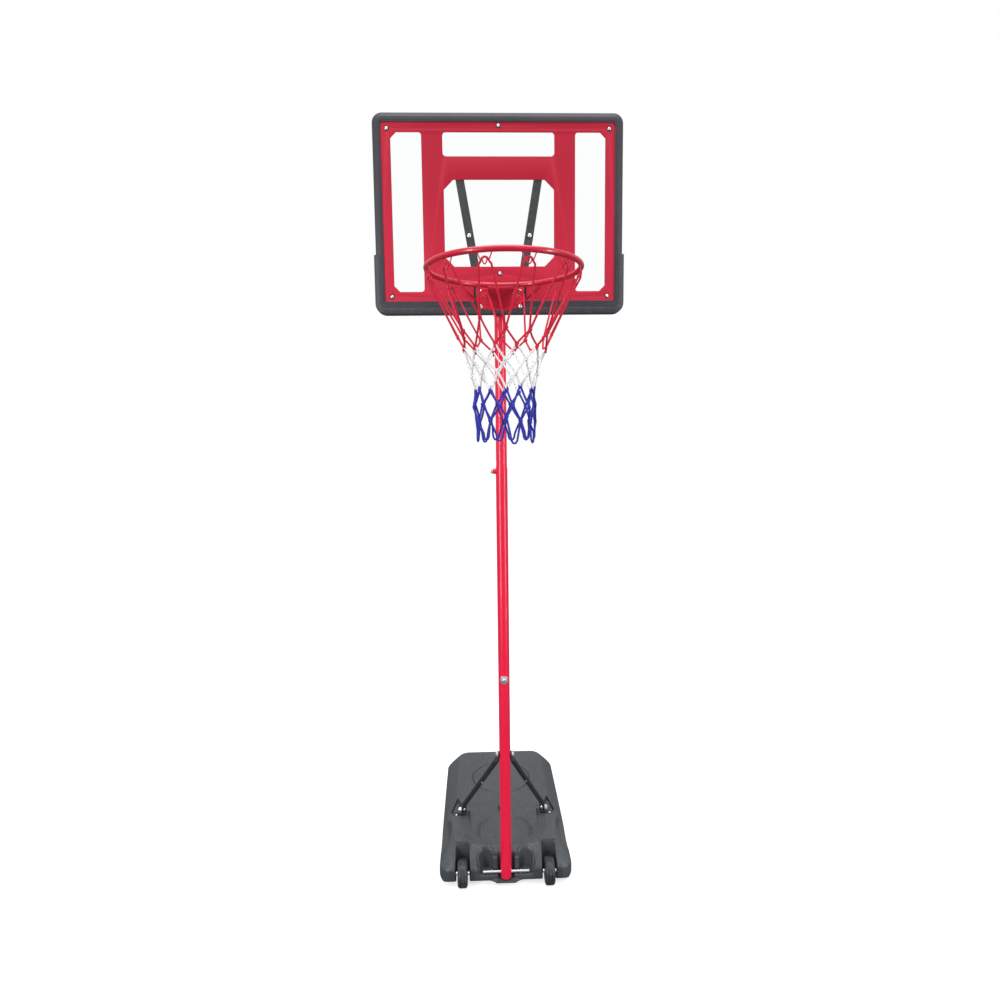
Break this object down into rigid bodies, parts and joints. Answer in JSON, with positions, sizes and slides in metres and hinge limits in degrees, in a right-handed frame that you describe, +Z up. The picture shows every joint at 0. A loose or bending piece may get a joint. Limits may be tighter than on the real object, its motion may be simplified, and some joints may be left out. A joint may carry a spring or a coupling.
{
  "type": "portable basketball hoop",
  "caption": "Portable basketball hoop: fillable base with wheels, braced telescoping pole, framed backboard with clear windows, and a round rim carrying a knotted red, white and blue net.",
  "frame": {"origin": "centre of the base's underside, on the floor", "axes": "+X to the right as the player sees the hoop, +Y away from the player towards the back of the base, +Z up along the pole"},
  "size_m": [0.804, 1.3327, 2.651],
  "materials": {
    "tank_plastic": "satin blow-moulded plastic, dark grey",
    "sand": "dry sand",
    "zinc_steel": "bright zinc plating",
    "strut_paint": "dark semi-gloss powder coat",
    "pole_paint": "gloss crimson paint",
    "cap_plastic": "black moulded plastic",
    "seal_rubber": "black rubber",
    "wheel_tyre": "dark solid tyre",
    "hub_plastic": "grey moulded hub",
    "bracket_steel": "dark powder coat",
    "clear_plastic": "clear polycarbonate",
    "printed_film": "crimson printed sheet",
    "trim_plastic": "black moulded frame",
    "bumper_rubber": "black soft guard",
    "rim_paint": "satin red powder coat",
    "net_cord": "knotted nylon cord in red, white and blue"
  },
  "bodies": {
    "stand": {"base_tank": "tank_plastic", "ballast_sand": "sand", "foot_rod": "zinc_steel", "rod_clips": "zinc_steel", "wheel_axle_left": "zinc_steel", "wheel_axle_right": "zinc_steel", "wheel_spacers": "zinc_steel", "strut_left": "strut_paint", "strut_right": "strut_paint", "strut_bracket_left": "zinc_steel", "strut_bracket_right": "zinc_steel", "strut_bracket_bolts": "zinc_steel", "strut_bracket_nuts": "zinc_steel", "bracket_screws": "zinc_steel", "strut_top_bolt": "zinc_steel", "strut_top_nut": "zinc_steel", "pole_foot_cap": "pole_paint", "pole_lower": "pole_paint", "joint_sleeve": "pole_paint", "pole_middle": "pole_paint", "joint_bolt": "zinc_steel", "joint_washer": "zinc_steel", "joint_nut": "zinc_steel", "lock_boss": "pole_paint"},
    "lock": {"lock_bolt": "zinc_steel"},
    "cap": {"fill_cap": "cap_plastic", "cap_seal": "seal_rubber"},
    "wheel_left": {"tyre_left": "wheel_tyre", "hub_left": "hub_plastic"},
    "wheel_right": {"tyre_right": "wheel_tyre", "hub_right": "hub_plastic"},
    "backboard": {"pole_upper": "pole_paint", "pole_top_cap": "cap_plastic", "board_bracket": "bracket_steel", "bracket_bolts": "zinc_steel", "bracket_nuts": "zinc_steel", "v_brace_left": "strut_paint", "v_brace_right": "strut_paint", "v_brace_bolts": "zinc_steel", "v_brace_nuts": "zinc_steel", "clear_panel": "clear_plastic", "printed_sheet": "printed_film", "trim_frame": "trim_plastic", "corner_bumper": "bumper_rubber", "board_bolts": "zinc_steel", "board_nuts": "zinc_steel", "centre_spacer": "cap_plastic", "rim_bracket": "rim_paint", "rim_ring": "rim_paint", "rim_brace_left": "rim_paint", "rim_brace_right": "rim_paint", "rim_bolts": "zinc_steel", "rim_nuts": "zinc_steel", "net_hooks": "rim_paint", "net": "net_cord"}
  },
  "joints": [
    {"name": "height_slide", "type": "slide", "parent": "stand", "child": "backboard", "axis": [0, 0, 1], "range_m": [-0.5, 0]},
    {"name": "lock_unscrew", "type": "slide", "parent": "stand", "child": "lock", "axis": [-1, 0, 0], "range_m": [0, 0.012]},
    {"name": "cap_lift", "type": "slide", "parent": "stand", "child": "cap", "axis": [0, 0, 1], "range_m": [0, 0.06]},
    {"name": "wheel_left_spin", "type": "hinge", "parent": "stand", "child": "wheel_left", "pos_m": [-0.159, -0.379, 0.05], "axis": [1, 0, 0], "continuous": true},
    {"name": "wheel_right_spin", "type": "hinge", "parent": "stand", "child": "wheel_right", "pos_m": [0.159, -0.379, 0.05], "axis": [1, 0, 0], "continuous": true}
  ]
}
